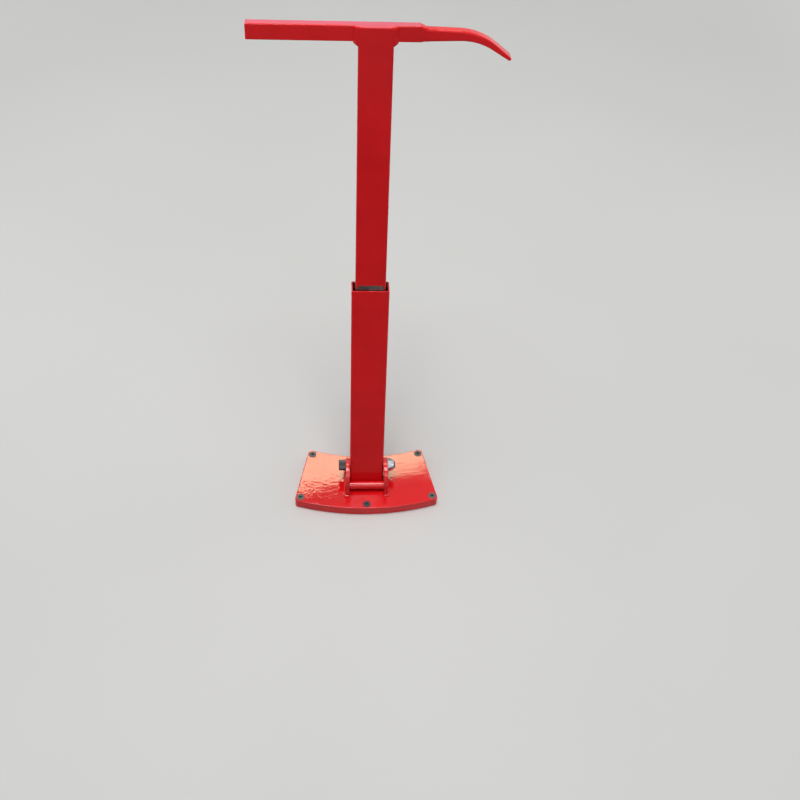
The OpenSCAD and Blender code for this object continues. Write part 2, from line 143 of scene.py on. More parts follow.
def round_edges(piece, width, segments=3, where=None, sharper_than=30.0, profile=0.5):
    """Rounds a piece's sharp edges, or those of them whose middle passes a test."""
    take(piece)
    bpy.ops.object.mode_set(mode="EDIT")
    bpy.ops.mesh.select_mode(type="EDGE")
    bpy.ops.mesh.select_all(action="DESELECT")
    bpy.ops.mesh.edges_select_sharp(sharpness=math.radians(sharper_than))
    bpy.ops.object.mode_set(mode="OBJECT")
    mesh = piece.data
    chosen = []
    for edge in mesh.edges:
        start = mesh.vertices[edge.vertices[0]].co
        end = mesh.vertices[edge.vertices[1]].co
        if edge.select and (where is None or where((start + end) / 2)):
            chosen.append(edge.index)
    bpy.ops.object.mode_set(mode="EDIT")
    bpy.ops.mesh.select_all(action="DESELECT")
    bpy.ops.object.mode_set(mode="OBJECT")
    for index in chosen:
        mesh.edges[index].select = True
    bpy.ops.object.mode_set(mode="EDIT")
    bpy.ops.mesh.bevel(offset=width, segments=segments, profile=profile, affect="EDGES", clamp_overlap=False)
    bpy.ops.mesh.select_mode(type="VERT")
    bpy.ops.object.mode_set(mode="OBJECT")


def even_shading(piece, angle=35.0):
    """Smooth shading that keeps flat faces flat and true corners sharp."""
    take(piece)
    bpy.ops.object.shade_smooth_by_angle(angle=math.radians(angle))
    evened = piece.modifiers.new("even_normals", "WEIGHTED_NORMAL")
    evened.keep_sharp = True
    apply_modifier(piece, evened)


def dress(piece, finish, slot, body, *nodes):
    """Gives a piece its finish and its body, and hides the solids that it stands for."""
    piece.data.materials.clear()
    piece.data.materials.append(finish)
    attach(piece, body)
    if nodes:
        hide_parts(*nodes)


def line_inside(piece, finish, inside):
    """Gives the faces of a hollow piece that pass a test a second finish."""
    piece.data.materials.append(finish)
    for face in piece.data.polygons:
        if inside(face.center, face.normal):
            face.material_index = 1


# Weld beads, laid as a welder lays them: a round start, small overlapping steps, a round end

BEAD_STEP = 0.6 * MM
RIPPLE_LENGTH = 2.3 * MM
RIPPLE_HEIGHT = 0.05 * MM
DOME = (22.0, 44.0, 66.0, 90.0)
BEAD_DOME = 0.65
FOOT_BEAD_R = 2.2 * MM
FOOT_BEAD_OFF = 0.6 * MM
STOP_BEAD_R = 1.2 * MM
FILLET_THICK = 3.0 * MM
FILLET_CROWN = 0.7 * MM
FILLET_RIPPLE = 0.08 * MM
FILLET_WIDTH = 0.78
FILLET_DOME = 0.6
FILLET_GRAIN = 0.4 * MM
TOE_ON_CORNER = 0.9 * MM
TOE_ON_BAR = 5.0 * MM
TOE_UNDER_BAR = 4.0 * MM
TOE_DOWN_TUBE = 4.5 * MM
UNDER_BEAD_STARTS = -8.0 * MM
UNDER_BEAD_LONG = 16.0 * MM


def ripple(length, radius, height=RIPPLE_HEIGHT):
    """The bead's relative width after this length: low, slightly uneven waves under the thick coat."""
    turn = 2.0 * math.pi * length / RIPPLE_LENGTH
    wave = math.sin(turn + 0.6 * math.sin(0.37 * turn)) + 0.6 * math.sin(0.23 * turn)
    return 1.0 + height / radius * wave


def start_bead(name, place, heading, radius, dome=BEAD_DOME):
    clear_selection()
    turned = heading.to_track_quat("Z", "Y").to_euler()
    width = math.sin(math.radians(DOME[0]))
    depth = math.cos(math.radians(DOME[0]))
    bpy.ops.mesh.primitive_circle_add(
        vertices=20, radius=radius * width, fill_type="NGON", location=place, rotation=turned)
    bead = bpy.context.object
    bead.name = name
    bead.data.name = name
    bpy.ops.object.transform_apply(location=True, rotation=True, scale=True)
    bpy.ops.object.mode_set(mode="EDIT")
    bpy.ops.mesh.select_all(action="SELECT")
    for angle in DOME[1:]:
        wider = math.sin(math.radians(angle))
        deeper = math.cos(math.radians(angle))
        place = push_bead(place, heading, radius * dome * (depth - deeper), wider / width)
        width = wider
        depth = deeper
    return bead, place


def push_bead(place, heading, length, swell):
    step = heading * length
    place = place + step
    bpy.ops.mesh.extrude_region_move(TRANSFORM_OT_translate={"value": step})
    bpy.ops.transform.resize(value=(swell, swell, swell), center_override=place)
    return place


def run_bead(place, heading, length, radius, height=RIPPLE_HEIGHT):
    """Carries the bead straight on, swelling a little at each step of the torch."""
    steps = max(3, round(length / BEAD_STEP))
    width = 1.0
    for count in range(1, steps + 1):
        wider = ripple(length * count / steps, radius, height) if count < steps else 1.0
        place = push_bead(place, heading, length / steps, wider / width)
        width = wider
    return place


def turn_bead(place, heading, centre, axis, angle, steps=6):
    """Carries the bead round a corner."""
    bpy.ops.mesh.spin(steps=steps, angle=-angle, center=centre, axis=axis, dupli=False)
    turned = Matrix.Rotation(angle, 3, axis)
    return centre + turned @ (place - centre), turned @ heading


def end_bead(bead, place, heading, radius, dome=BEAD_DOME):
    width = 1.0
    depth = 0.0
    for angle in DOME[2::-1]:
        narrower = math.sin(math.radians(angle))
        deeper = math.cos(math.radians(angle))
        place = push_bead(place, heading, radius * dome * (deeper - depth), narrower / width)
        width = narrower
        depth = deeper
    bpy.ops.mesh.select_all(action="SELECT")
    bpy.ops.mesh.normals_make_consistent(inside=False)
    bpy.ops.object.mode_set(mode="OBJECT")
    take(bead)
    bpy.ops.object.shade_smooth_by_angle(angle=math.radians(60))
    return bead


def ring_bead(name, centre, axis, ring_radius, radius):
    """A bead round the end of a round bar, closed on its own start."""
    side = Vector((0.0, 0.0, 1.0)) if abs(axis.z) < 0.9 else Vector((1.0, 0.0, 0.0))
    out = (side - axis * side.dot(axis)).normalized()
    heading = axis.cross(out)
    place = centre + out * ring_radius
    bead, ahead = start_bead(name, place - heading * radius * BEAD_DOME, heading, radius)
    place = ahead
    turns = round(2.0 * math.pi * ring_radius / BEAD_STEP)
    width = 1.0
    for count in range(1, turns + 1):
        place, heading = turn_bead(place, heading, centre, axis, 2.0 * math.pi / turns, 1)
        wider = ripple(2.0 * math.pi * ring_radius * count / turns, radius)
        swell = wider / width
        width = wider
        bpy.ops.transform.resize(value=(swell, swell, swell), center_override=place)
    return end_bead(bead, place, heading, radius)


# Finishes


def new_finish(name):
    finish = bpy.data.materials.new(name)
    finish.use_nodes = True
    tree = finish.node_tree
    place = tree.nodes.new("ShaderNodeTexCoord").outputs["Object"]
    return finish, tree, tree.nodes["Principled BSDF"], place


def grain(tree, place, scale, detail=2.0, roughness=0.5):
    noise = tree.nodes.new("ShaderNodeTexNoise")
    noise.inputs["Scale"].default_value = scale
    noise.inputs["Detail"].default_value = detail
    noise.inputs["Roughness"].default_value = roughness
    tree.links.new(place, noise.inputs["Vector"])
    return noise.outputs["Fac"]


def stretched(tree, place, scale, turn=(0.0, 0.0, 0.0)):
    """Turns a pattern's own axes on the piece, then sets how fine it is along each of them."""
    mapping = tree.nodes.new("ShaderNodeMapping")
    mapping.vector_type = "TEXTURE"
    mapping.inputs["Rotation"].default_value = turn
    mapping.inputs["Scale"].default_value = [1.0 / fine for fine in scale]
    tree.links.new(place, mapping.inputs["Vector"])
    return mapping.outputs["Vector"]


def spread(tree, value, low, high, to_low, to_high, smooth=False):
    node = tree.nodes.new("ShaderNodeMapRange")
    if smooth:
        node.interpolation_type = "SMOOTHSTEP"
    node.inputs["From Min"].default_value = low
    node.inputs["From Max"].default_value = high
    node.inputs["To Min"].default_value = to_low
    node.inputs["To Max"].default_value = to_high
    tree.links.new(value, node.inputs["Value"])
    return node.outputs["Result"]


def tones(tree, value, *stops):
    ramp = tree.nodes.new("ShaderNodeValToRGB")
    while len(ramp.color_ramp.elements) < len(stops):
        ramp.color_ramp.elements.new(0.5)
    for element, (position, colour) in zip(ramp.color_ramp.elements, stops):
        element.position = position
        element.color = (*colour, 1.0)
    tree.links.new(value, ramp.inputs["Fac"])
    return ramp.outputs["Color"]


def relief(tree, height, depth, under=None):
    bump = tree.nodes.new("ShaderNodeBump")
    bump.inputs["Strength"].default_value = 1.0
    bump.inputs["Distance"].default_value = depth
    tree.links.new(height, bump.inputs["Height"])
    if under is not None:
        tree.links.new(under, bump.inputs["Normal"])
    return bump.outputs["Normal"]


def mixed(tree, share, first, second, kind="RGBA"):
    node = tree.nodes.new("ShaderNodeMix")
    node.data_type = kind
    at = 6 if kind == "RGBA" else 2
    tree.links.new(share, node.inputs[0])
    tree.links.new(first, node.inputs[at])
    tree.links.new(second, node.inputs[at + 1])
    return node.outputs[2 if kind == "RGBA" else 0]


def sum_of(tree, first, second, kind="ADD"):
    node = tree.nodes.new("ShaderNodeMath")
    node.operation = kind
    tree.links.new(first, node.inputs[0])
    tree.links.new(second, node.inputs[1])
    return node.outputs["Value"]


RED_DEEP = (0.60, 0.004, 0.007)
RED_FULL = (0.68, 0.006, 0.010)
PEEL_WAVES = 45.0
PEEL_WAVE_DEPTH = 0.11 * MM
PEEL_GRAINS = 280.0
PEEL_GRAIN_DEPTH = 0.055 * MM
COAT_STOPS = (7.2 * MM, 8.4 * MM)
COAT_CORNER = (15.5 * MM, 18.8 * MM)
COAT_CORNER_DROP = 6.6 * MM
COAT_WANDER = 0.9 * MM
COAT_THICK = 0.12 * MM
FULL_GLEAM = 0.28
TUBE_GLEAM = 0.12


def powder_coat_parts(tree, place):
    """Colour, gloss and relief of a thick red powder coat with its orange peel."""
    colour = tones(tree, grain(tree, place, 16.0, 3.0), (0.35, RED_DEEP), (0.65, RED_FULL))
    gloss = spread(tree, grain(tree, place, 70.0, 3.0), 0.3, 0.7, 0.03, 0.06)
    slow = relief(tree, grain(tree, place, PEEL_WAVES, 1.0), PEEL_WAVE_DEPTH)
    peel = relief(tree, grain(tree, place, PEEL_GRAINS, 1.0), PEEL_GRAIN_DEPTH, slow)
    return colour, gloss, peel


def powder_coat(name, gleam):
    finish, tree, shader, place = new_finish(name)
    colour, gloss, peel = powder_coat_parts(tree, place)
    tree.links.new(colour, shader.inputs["Base Color"])
    tree.links.new(gloss, shader.inputs["Roughness"])
    tree.links.new(peel, shader.inputs["Normal"])
    shader.inputs["Specular IOR Level"].default_value = gleam
    return finish


def worn_tube_paint():
    """The handle tube's coat, which stops in a wavy edge above the sleeve's mouth, over bare steel."""
    finish, tree, shader, place = new_finish("worn_tube_paint")
    colour, gloss, peel = powder_coat_parts(tree, place)
    up = tree.nodes.new("ShaderNodeVectorMath")
    up.operation = "DOT_PRODUCT"
    up.inputs[1].default_value = UP_HANDLE
    tree.links.new(place, up.inputs[0])
    above = up.outputs["Value"]
    parts = tree.nodes.new("ShaderNodeSeparateXYZ")
    tree.links.new(place, parts.inputs["Vector"])
    side = tree.nodes.new("ShaderNodeMath")
    side.operation = "ABSOLUTE"
    tree.links.new(parts.outputs["X"], side.inputs[0])
    # The coat runs lower at the tube's corners, and its edge wanders by a millimetre or two
    mouth = SLEEVE_MOUTH + PIVOT.dot(UP_HANDLE)
    corner = spread(tree, side.outputs["Value"], *COAT_CORNER, 0.0, COAT_CORNER_DROP, True)
    wander = spread(tree, grain(tree, place, 60.0, 3.0, 0.5), 0.3, 0.7, -COAT_WANDER, COAT_WANDER)
    level = sum_of(tree, sum_of(tree, above, corner), wander)
    painted = spread(tree, level, mouth + COAT_STOPS[0], mouth + COAT_STOPS[1], 0.0, 1.0, True)
    # Below it is dark rolled skin, rubbed to brighter lines by every lift; the skin's reddish tint is a
    # painted reflection of the red sleeve lip
    along = (-LEAN, 0.0, 0.0)
    bloom = grain(tree, place, 55.0, 5.0, 0.6)
    skin = tones(tree, bloom, (0.36, (0.060, 0.044, 0.041)), (0.64, (0.120, 0.093, 0.086)))
    rubbed = tones(tree, bloom, (0.3, (0.22, 0.195, 0.187)), (0.7, (0.33, 0.305, 0.295)))
    fine_lines = grain(tree, stretched(tree, place, (1300.0, 1300.0, 9.0), along), 1.0, 2.0)
    worn_runs = grain(tree, stretched(tree, place, (150.0, 150.0, 12.0), along), 1.0, 3.0)
    lines = spread(tree, sum_of(tree, fine_lines, worn_runs), 1.06, 1.34, 0.0, 1.0, True)
    steel = mixed(tree, lines, skin, rubbed)
    dull = spread(tree, bloom, 0.3, 0.7, 0.30, 0.48)
    tree.links.new(mixed(tree, painted, steel, colour), shader.inputs["Base Color"])
    tree.links.new(mixed(tree, painted, dull, gloss, "FLOAT"), shader.inputs["Roughness"])
    tree.links.new(spread(tree, painted, 0.0, 1.0, 0.85, 0.0), shader.inputs["Metallic"])
    tree.links.new(relief(tree, painted, COAT_THICK, peel), shader.inputs["Normal"])
    shader.inputs["Specular IOR Level"].default_value = TUBE_GLEAM
    return finish


def scuffed_steel():
    """Bare sheet steel, brushed one way and scuffed by use."""
    finish, tree, shader, place = new_finish("scuffed_steel")
    brushed = grain(tree, stretched(tree, place, (22.0, 1400.0, 1400.0)), 1.0, 3.0, 0.6)
    scuffs = grain(tree, stretched(tree, place, (30.0, 520.0, 60.0), (0.0, 0.0, 0.5)), 1.0, 4.0, 0.7)
    stain = grain(tree, place, 28.0, 5.0, 0.6)
    lines = tones(tree, brushed, (0.3, (0.40, 0.39, 0.38)), (0.7, (0.56, 0.55, 0.53)))
    worn = tones(tree, stain, (0.4, (0.34, 0.32, 0.30)), (0.6, (0.52, 0.51, 0.49)))
    share = spread(tree, scuffs, 0.45, 0.70, 0.25, 0.75)
    tree.links.new(mixed(tree, share, lines, worn), shader.inputs["Base Color"])
    tree.links.new(spread(tree, scuffs, 0.3, 0.7, 0.26, 0.48), shader.inputs["Roughness"])
    tree.links.new(relief(tree, brushed, 0.02 * MM), shader.inputs["Normal"])
    shader.inputs["Metallic"].default_value = 1.0
    return finish


def rolled_steel():
    """Uncoated inside wall of the tubes: dark rolled skin with brown bloom."""
    finish, tree, shader, place = new_finish("rolled_steel")
    bloom = grain(tree, place, 45.0, 5.0, 0.65)
    colour = tones(tree, bloom, (0.38, (0.050, 0.050, 0.054)), (0.62, (0.085, 0.062, 0.050)))
    tree.links.new(colour, shader.inputs["Base Color"])
    tree.links.new(spread(tree, bloom, 0.3, 0.7, 0.48, 0.72), shader.inputs["Roughness"])
    tree.links.new(relief(tree, grain(tree, place, 600.0, 2.0), 0.02 * MM), shader.inputs["Normal"])
    shader.inputs["Metallic"].default_value = 0.6
    return finish


def black_oxide():
    finish, tree, shader, place = new_finish("black_oxide")
    bloom = grain(tree, place, 240.0, 3.0, 0.6)
    colour = tones(tree, bloom, (0.3, (0.016, 0.018, 0.023)), (0.7, (0.036, 0.040, 0.050)))
    tree.links.new(colour, shader.inputs["Base Color"])
    tree.links.new(spread(tree, bloom, 0.3, 0.7, 0.36, 0.52), shader.inputs["Roughness"])
    tree.links.new(relief(tree, grain(tree, place, 1400.0, 2.0), 0.008 * MM), shader.inputs["Normal"])
    shader.inputs["Metallic"].default_value = 0.35
    return finish


def bright_zinc():
    finish, tree, shader, place = new_finish("bright_zinc")
    cloud = grain(tree, place, 180.0, 4.0, 0.6)
    colour = tones(tree, cloud, (0.3, (0.24, 0.26, 0.29)), (0.7, (0.36, 0.38, 0.41)))
    tree.links.new(colour, shader.inputs["Base Color"])
    tree.links.new(spread(tree, cloud, 0.3, 0.7, 0.13, 0.22), shader.inputs["Roughness"])
    tree.links.new(relief(tree, grain(tree, place, 900.0, 2.0), 0.012 * MM), shader.inputs["Normal"])
    shader.inputs["Metallic"].default_value = 1.0
    return finish


def bright_nickel():
    finish, tree, shader, place = new_finish("bright_nickel")
    cloud = grain(tree, place, 90.0, 3.0, 0.5)
    colour = tones(tree, cloud, (0.3, (0.60, 0.57, 0.52)), (0.7, (0.70, 0.67, 0.62)))
    tree.links.new(colour, shader.inputs["Base Color"])
    tree.links.new(spread(tree, cloud, 0.3, 0.7, 0.10, 0.18), shader.inputs["Roughness"])
    shader.inputs["Metallic"].default_value = 1.0
    return finish


def pale_nylon():
    finish, tree, shader, place = new_finish("pale_nylon")
    cloud = grain(tree, place, 300.0, 2.0)
    colour = tones(tree, cloud, (0.3, (0.66, 0.66, 0.62)), (0.7, (0.74, 0.74, 0.70)))
    tree.links.new(colour, shader.inputs["Base Color"])
    tree.links.new(spread(tree, cloud, 0.3, 0.7, 0.38, 0.5), shader.inputs["Roughness"])
    return finish


RED = powder_coat("red_powder_coat", FULL_GLEAM)
HANDLE_RED = powder_coat("handle_powder_coat", TUBE_GLEAM)
TUBE_PAINT = worn_tube_paint()
STEEL = scuffed_steel()
DARK_STEEL = rolled_steel()
BLACK = black_oxide()
ZINC = bright_zinc()
NICKEL = bright_nickel()
NYLON = pale_nylon()


# Base: plate, housing, sheet and screws


def screw_centres():
    """The middles of the screw heads, found from the screws' own points."""
    heads = []
    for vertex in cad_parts["plate_screws"].data.vertices:
        flat = Vector((vertex.co.x, vertex.co.y))
        for group in heads:
            if (group[0] - flat).length < SCREWS_APART:
                group.append(flat)
                break
        else:
            heads.append([flat])
    middles = []
    for group in heads:
        low = Vector((min(p.x for p in group), min(p.y for p in group)))
        high = Vector((max(p.x for p in group), max(p.y for p in group)))
        middles.append((low + high) / 2)
    return middles


SCREWS = screw_centres()


def by_a_screw(point):
    flat = Vector((point.x, point.y))
    return min((flat - middle).length for middle in SCREWS) < SCREW_REACH


def painted_plate():
    plate = copy_of_solid("top_plate", "plate")
    top_rim = PLATE_TOP - SLACK
    low_rim = HOUSING_TOP + SLACK
    round_edges(plate, HOLE_RIM_ROUND, 2, lambda p: by_a_screw(p) and p.z > top_rim)
    round_edges(
        plate, PLATE_RIM_ROUND, 4, lambda p: not by_a_screw(p) and p.z > top_rim, profile=PLATE_RIM_PROFILE)
    round_edges(plate, SEAM_ROUND, 2, lambda p: not by_a_screw(p) and p.z < low_rim)
    even_shading(plate)
    dress(plate, RED, "red_paint", "base", "top_plate")


def painted_housing():
    housing = copy_of_solid("magnet_housing", "housing")
    round_edges(housing, SEAM_ROUND, 2, lambda p: not by_a_screw(p) and p.z > HOUSING_TOP - SLACK)
    even_shading(housing)
    dress(housing, RED, "red_paint", "base", "magnet_housing")


def closing_sheet():
    """Bare underneath where it meets what it lifts, coated round its rim with the rest of the base."""
    sheet = copy_of_solid("wear_plate", "closing_sheet")
    round_edges(sheet, SHEET_ROUND, 2)
    even_shading(sheet)
    dress(sheet, RED, "red_paint", "base", "wear_plate")
    line_inside(sheet, STEEL, lambda middle, normal: abs(normal.z) > 0.9)


def black_screws():
    screws = copy_of_solid("plate_screws", "countersunk_screws")
    round_edges(screws, SCREW_ROUND, 2, lambda p: p.z > PLATE_TOP - 0.3 * MM)
    even_shading(screws)
    dress(screws, BLACK, "black_oxide", "base", "plate_screws")


painted_plate()
painted_housing()
closing_sheet()
black_screws()
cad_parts["magnets"].data.materials.clear()
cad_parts["magnets"].data.materials.append(NICKEL)


# Hinge: ears, their welds, stop bar, bolt and nut


def painted_ear(node, name):
    ear = copy_of_solid(node, name)
    round_edges(ear, EAR_ROUND, 3, lambda p: p.z > PLATE_TOP + 0.5 * MM)
    even_shading(ear)
    dress(ear, RED, "red_paint", "base", node)


def ear_foot_weld(side, name, node):
    """One bead along the front of the foot, round its outer corner, along its side and round the back."""
    radius = FOOT_BEAD_R
    off = FOOT_BEAD_OFF
    out = Vector((float(side), 0.0, 0.0))
    back = Vector((0.0, 1.0, 0.0))
    lift = Vector((0.0, 0.0, PLATE_TOP + off))
    place = out * (EAR_INNER + 0.4 * MM) - back * (EAR_HALF + off) + lift
    bead, place = start_bead(name, place, out, radius)
    place = run_bead(place, out, EAR_OUTER - abs(place.x), radius)
    upward = Vector((0.0, 0.0, 1.0))
    corner = out * EAR_OUTER - back * EAR_HALF + lift
    place, heading = turn_bead(place, out, corner, upward, side * math.pi / 2)
    place = run_bead(place, heading, 2 * EAR_HALF, radius)
    corner = out * EAR_OUTER + back * EAR_HALF + lift
    place, heading = turn_bead(place, heading, corner, upward, side * math.pi / 2)
    place = run_bead(place, heading, EAR_OUTER - EAR_INNER - 2.4 * MM, radius)
    end_bead(bead, place, heading, radius)
    dress(bead, RED, "red_paint", "base", node)


def stop_bar_parts():
    bar = copy_of_solid("stop_bar", "stop_round")
    round_edges(bar, STOP_BAR_ROUND, 3)
    even_shading(bar)
    dress(bar, RED, "red_paint", "base", "stop_bar")
    for side, name in ((-1, "stop_weld_left"), (1, "stop_weld_right")):
        centre = STOP_BAR + Vector((side * (EAR_OUTER - 0.5 * MM), 0.0, 0.0))
        ring = ring_bead(name, centre, Vector((float(side), 0.0, 0.0)), STOP_BAR_R, STOP_BEAD_R)
        dress(ring, RED, "red_paint", "base")


def knurled_head():
    """The bolt's head: a fluted round, chamfered at its outer end, with a hexagon socket."""
    clear_selection()
    axis = Vector((0.0, PIVOT.y, PIVOT.z))
    inner = axis - Vector((EAR_OUTER, 0.0, 0.0))
    outer = axis - Vector((BOLT_HEAD_END, 0.0, 0.0))
    outward = Vector((-1.0, 0.0, 0.0))
    bpy.ops.mesh.primitive_circle_add(
        vertices=2 * KNURLS, radius=BOLT_HEAD_R, fill_type="NGON", location=inner,
        rotation=(0.0, -math.pi / 2, 0.0))
    head = bpy.context.object
    bpy.ops.object.transform_apply(location=True, rotation=True, scale=True)
    bpy.ops.object.mode_set(mode="EDIT")
    bpy.ops.mesh.select_mode(type="VERT")
    bpy.ops.mesh.select_all(action="DESELECT")
    bpy.ops.object.mode_set(mode="OBJECT")
    for vertex in head.data.vertices:
        vertex.select = vertex.index % 2 == 1
    bpy.ops.object.mode_set(mode="EDIT")
    bpy.ops.transform.resize(value=(1.0, FLUTE_WAIST, FLUTE_WAIST), center_override=inner)
    bpy.ops.mesh.select_all(action="SELECT")
    length = BOLT_HEAD_END - EAR_OUTER
    push_bead(inner, outward, length - BOLT_CHAMFER, 1.0)
    bpy.ops.mesh.extrude_region_move(TRANSFORM_OT_translate={"value": outward * BOLT_CHAMFER})
    narrow = 1.0 - BOLT_CHAMFER / BOLT_HEAD_R
    bpy.ops.transform.resize(value=(1.0, narrow, narrow), center_override=outer)
    bpy.ops.mesh.select_all(action="SELECT")
    bpy.ops.mesh.normals_make_consistent(inside=False)
    bpy.ops.object.mode_set(mode="OBJECT")
    clear_selection()
    bpy.ops.mesh.primitive_cylinder_add(
        vertices=6, radius=SOCKET_FLATS / 2 / math.cos(math.pi / 6), depth=2 * SOCKET_DEEP,
        location=outer, rotation=(0.0, math.pi / 2, 0.0))
    cutter = bpy.context.object
    socket = head.modifiers.new("socket", "BOOLEAN")
    socket.operation = "DIFFERENCE"
    socket.object = cutter
    apply_modifier(head, socket)
    bpy.data.objects.remove(cutter)
    return head


def pivot_parts():
    bolt = copy_of_solid("pivot_bolt", "socket_bolt")
    take(bolt)
    bpy.ops.object.mode_set(mode="EDIT")
    bpy.ops.mesh.select_all(action="SELECT")
    bpy.ops.mesh.bisect(
        plane_co=(-EAR_OUTER + 0.2 * MM, 0.0, 0.0), plane_no=(1.0, 0.0, 0.0),
        use_fill=True, clear_inner=True)
    bpy.ops.object.mode_set(mode="OBJECT")
    round_edges(bolt, BOLT_END_ROUND, 2, lambda p: p.x > NUT_OUTER)
    head = knurled_head()
    take(bolt)
    head.select_set(True)
    bpy.ops.object.join()
    even_shading(bolt, 25.0)
    dress(bolt, BLACK, "black_oxide", "base", "pivot_bolt")
    nut = copy_of_solid("pivot_nut", "lock_nut")
    round_edges(nut, NUT_ROUND, 2)
    even_shading(nut)
    dress(nut, ZINC, "zinc_plate", "base", "pivot_nut")
    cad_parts["nut_insert"].data.materials.clear()
    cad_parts["nut_insert"].data.materials.append(NYLON)


painted_ear("ear_left", "hinge_ear_left")
painted_ear("ear_right", "hinge_ear_right")
ear_foot_weld(-1, "foot_weld_left", "ear_weld_left")
ear_foot_weld(1, "foot_weld_right", "ear_weld_right")
stop_bar_parts()
pivot_parts()


# Sleeve, its bush and pin


def in_tube(point, half_w, half_d, wall):
    place = handle_place(point)
    return abs(place.x) < half_w - wall + SLACK and abs(place.y) < half_d - wall + SLACK


def inner_wall(middle, normal, half_w, half_d, wall):
    return abs(normal.dot(UP_HANDLE)) < 0.3 and in_tube(middle, half_w, half_d, wall)


def painted_sleeve():
    sleeve = copy_of_solid("lower_sleeve", "sleeve_tube")
    round_edges(sleeve, SLEEVE_ROUND, 3)
    even_shading(sleeve)
    dress(sleeve, HANDLE_RED, "red_paint", "sleeve", "lower_sleeve")
    line_inside(sleeve, DARK_STEEL, lambda middle, normal: inner_wall(
        middle, normal, SLEEVE_HALF_W, SLEEVE_HALF_D, SLEEVE_WALL))


def sleeve_fittings():
    pin = copy_of_solid("rest_pin", "rest_round")
    round_edges(pin, PIN_ROUND, 3)
    even_shading(pin)
    dress(pin, HANDLE_RED, "red_paint", "sleeve", "rest_pin")
    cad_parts["pivot_bush"].data.materials.clear()
    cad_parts["pivot_bush"].data.materials.append(STEEL)


painted_sleeve()
sleeve_fittings()


# Handle: tube, cap, cross bar, welds and pick


def on_front_rim(point):
    """Whether a point lies on the tube's top outer edge, in front of the bar."""
    place = handle_place(point)
    if in_tube(point, TUBE_HALF_W, TUBE_HALF_D, TUBE_WALL):
        return False
    return place.z > TUBE_TOP - SLACK and place.y < BAR_FRONT - 1.0 * MM


def painted_tube():
    tube = copy_of_solid("handle_tube", "handle_upright")
    round_edges(tube, TUBE_FOOT_ROUND, 3, lambda p: handle_place(p).z < TUBE_MIDDLE)
    round_edges(tube, TUBE_TOP_ROUND, 4, on_front_rim)
    even_shading(tube)
    dress(tube, TUBE_PAINT, "worn_tube_paint", "handle", "handle_tube")
    line_inside(tube, DARK_STEEL, lambda middle, normal: inner_wall(
        middle, normal, TUBE_HALF_W, TUBE_HALF_D, TUBE_WALL))


def painted_bar():
    cap = copy_of_solid("tube_cap", "tube_end_cap")
    even_shading(cap)
    dress(cap, HANDLE_RED, "red_paint", "handle", "tube_cap")
    bar = copy_of_solid("cross_bar", "grip_bar")
    round_edges(bar, BAR_ROUND, 4, lambda p: p.x < 0.0)
    even_shading(bar)
    dress(bar, HANDLE_RED, "red_paint", "handle", "cross_bar")


def fillet_bead(name, first_toe, second_toe, heading, length, out):
    """A straight bead with an oval section, which fills the corner between its two toes."""
    across = (second_toe - first_toe).normalized()
    crown = heading.cross(across)
    if crown.dot(out) < 0.0:
        crown = -crown
    upward = Vector((0.0, 0.0, 1.0))
    bead, ahead = start_bead(name, Vector((0.0, 0.0, 0.0)), upward, FILLET_THICK, FILLET_DOME)
    ahead = run_bead(ahead, upward, length - 2.0 * ahead.z, FILLET_THICK, FILLET_RIPPLE)
    end_bead(bead, ahead, upward, FILLET_THICK, FILLET_DOME)
    wide = FILLET_WIDTH * (second_toe - first_toe).length
    bpy.ops.object.mode_set(mode="EDIT")
    bpy.ops.mesh.select_all(action="SELECT")
    bpy.ops.transform.resize(value=(wide / FILLET_THICK, 1.0, 1.0), center_override=(0.0, 0.0, 0.0))
    bpy.ops.object.mode_set(mode="OBJECT")
    middle = (first_toe + second_toe) / 2 - crown * (FILLET_THICK - FILLET_CROWN)
    turned = Matrix((across, heading.cross(across), heading)).transposed().to_4x4()
    bead.matrix_world = Matrix.Translation(middle) @ turned
    bpy.ops.object.transform_apply(location=True, rotation=True, scale=True)
    return bead


def bar_weld(side, name, node):
    """Two beads that meet at the bar's lower edge: down the corner in front of the bar, and back under it."""
    out = Vector((float(side), 0.0, 0.0))
    top = TUBE_TOP - 0.2 * MM
    first = on_handle(side * (TUBE_HALF_W - TOE_ON_CORNER), TOE_ON_CORNER - TUBE_HALF_D, top)
    second = on_handle(side * (TUBE_HALF_W + TOE_ON_BAR), BAR_FRONT, top)
    front = fillet_bead(name, first, second, -UP_HANDLE, top - BAR_UNDER + FILLET_THICK, out)
    first = on_handle(side * (TUBE_HALF_W + TOE_UNDER_BAR), UNDER_BEAD_STARTS, BAR_UNDER)
    second = on_handle(side * TUBE_HALF_W, UNDER_BEAD_STARTS, BAR_UNDER - TOE_DOWN_TUBE)
    below = fillet_bead(name + "_below", first, second, BACK_OF_HANDLE, UNDER_BEAD_LONG, out)
    take(front)
    below.select_set(True)
    bpy.ops.object.join()
    one_skin = front.modifiers.new("one_skin", "REMESH")
    one_skin.mode = "VOXEL"
    one_skin.voxel_size = FILLET_GRAIN
    apply_modifier(front, one_skin)
    run_together = front.modifiers.new("run_together", "SMOOTH")
    run_together.factor = 0.5
    run_together.iterations = 8
    apply_modifier(front, run_together)
    bpy.ops.object.shade_smooth()
    dress(front, HANDLE_RED, "red_paint", "handle", node)


def top_seam_weld():
    """The weld that fills the groove between the tube's cap and the bar, ground almost flush."""
    radius = 1.25 * MM
    across = Vector((1.0, 0.0, 0.0))
    place = on_handle(-TUBE_HALF_W, BAR_FRONT + 0.2 * MM, TUBE_TOP - radius)
    bead, place = start_bead("top_seam_weld", place, across, radius)
    place = run_bead(place, across, TUBE_HALF_W - place.x - BEAD_DOME * radius, radius)
    end_bead(bead, place, across, radius)
    dress(bead, HANDLE_RED, "red_paint", "handle")


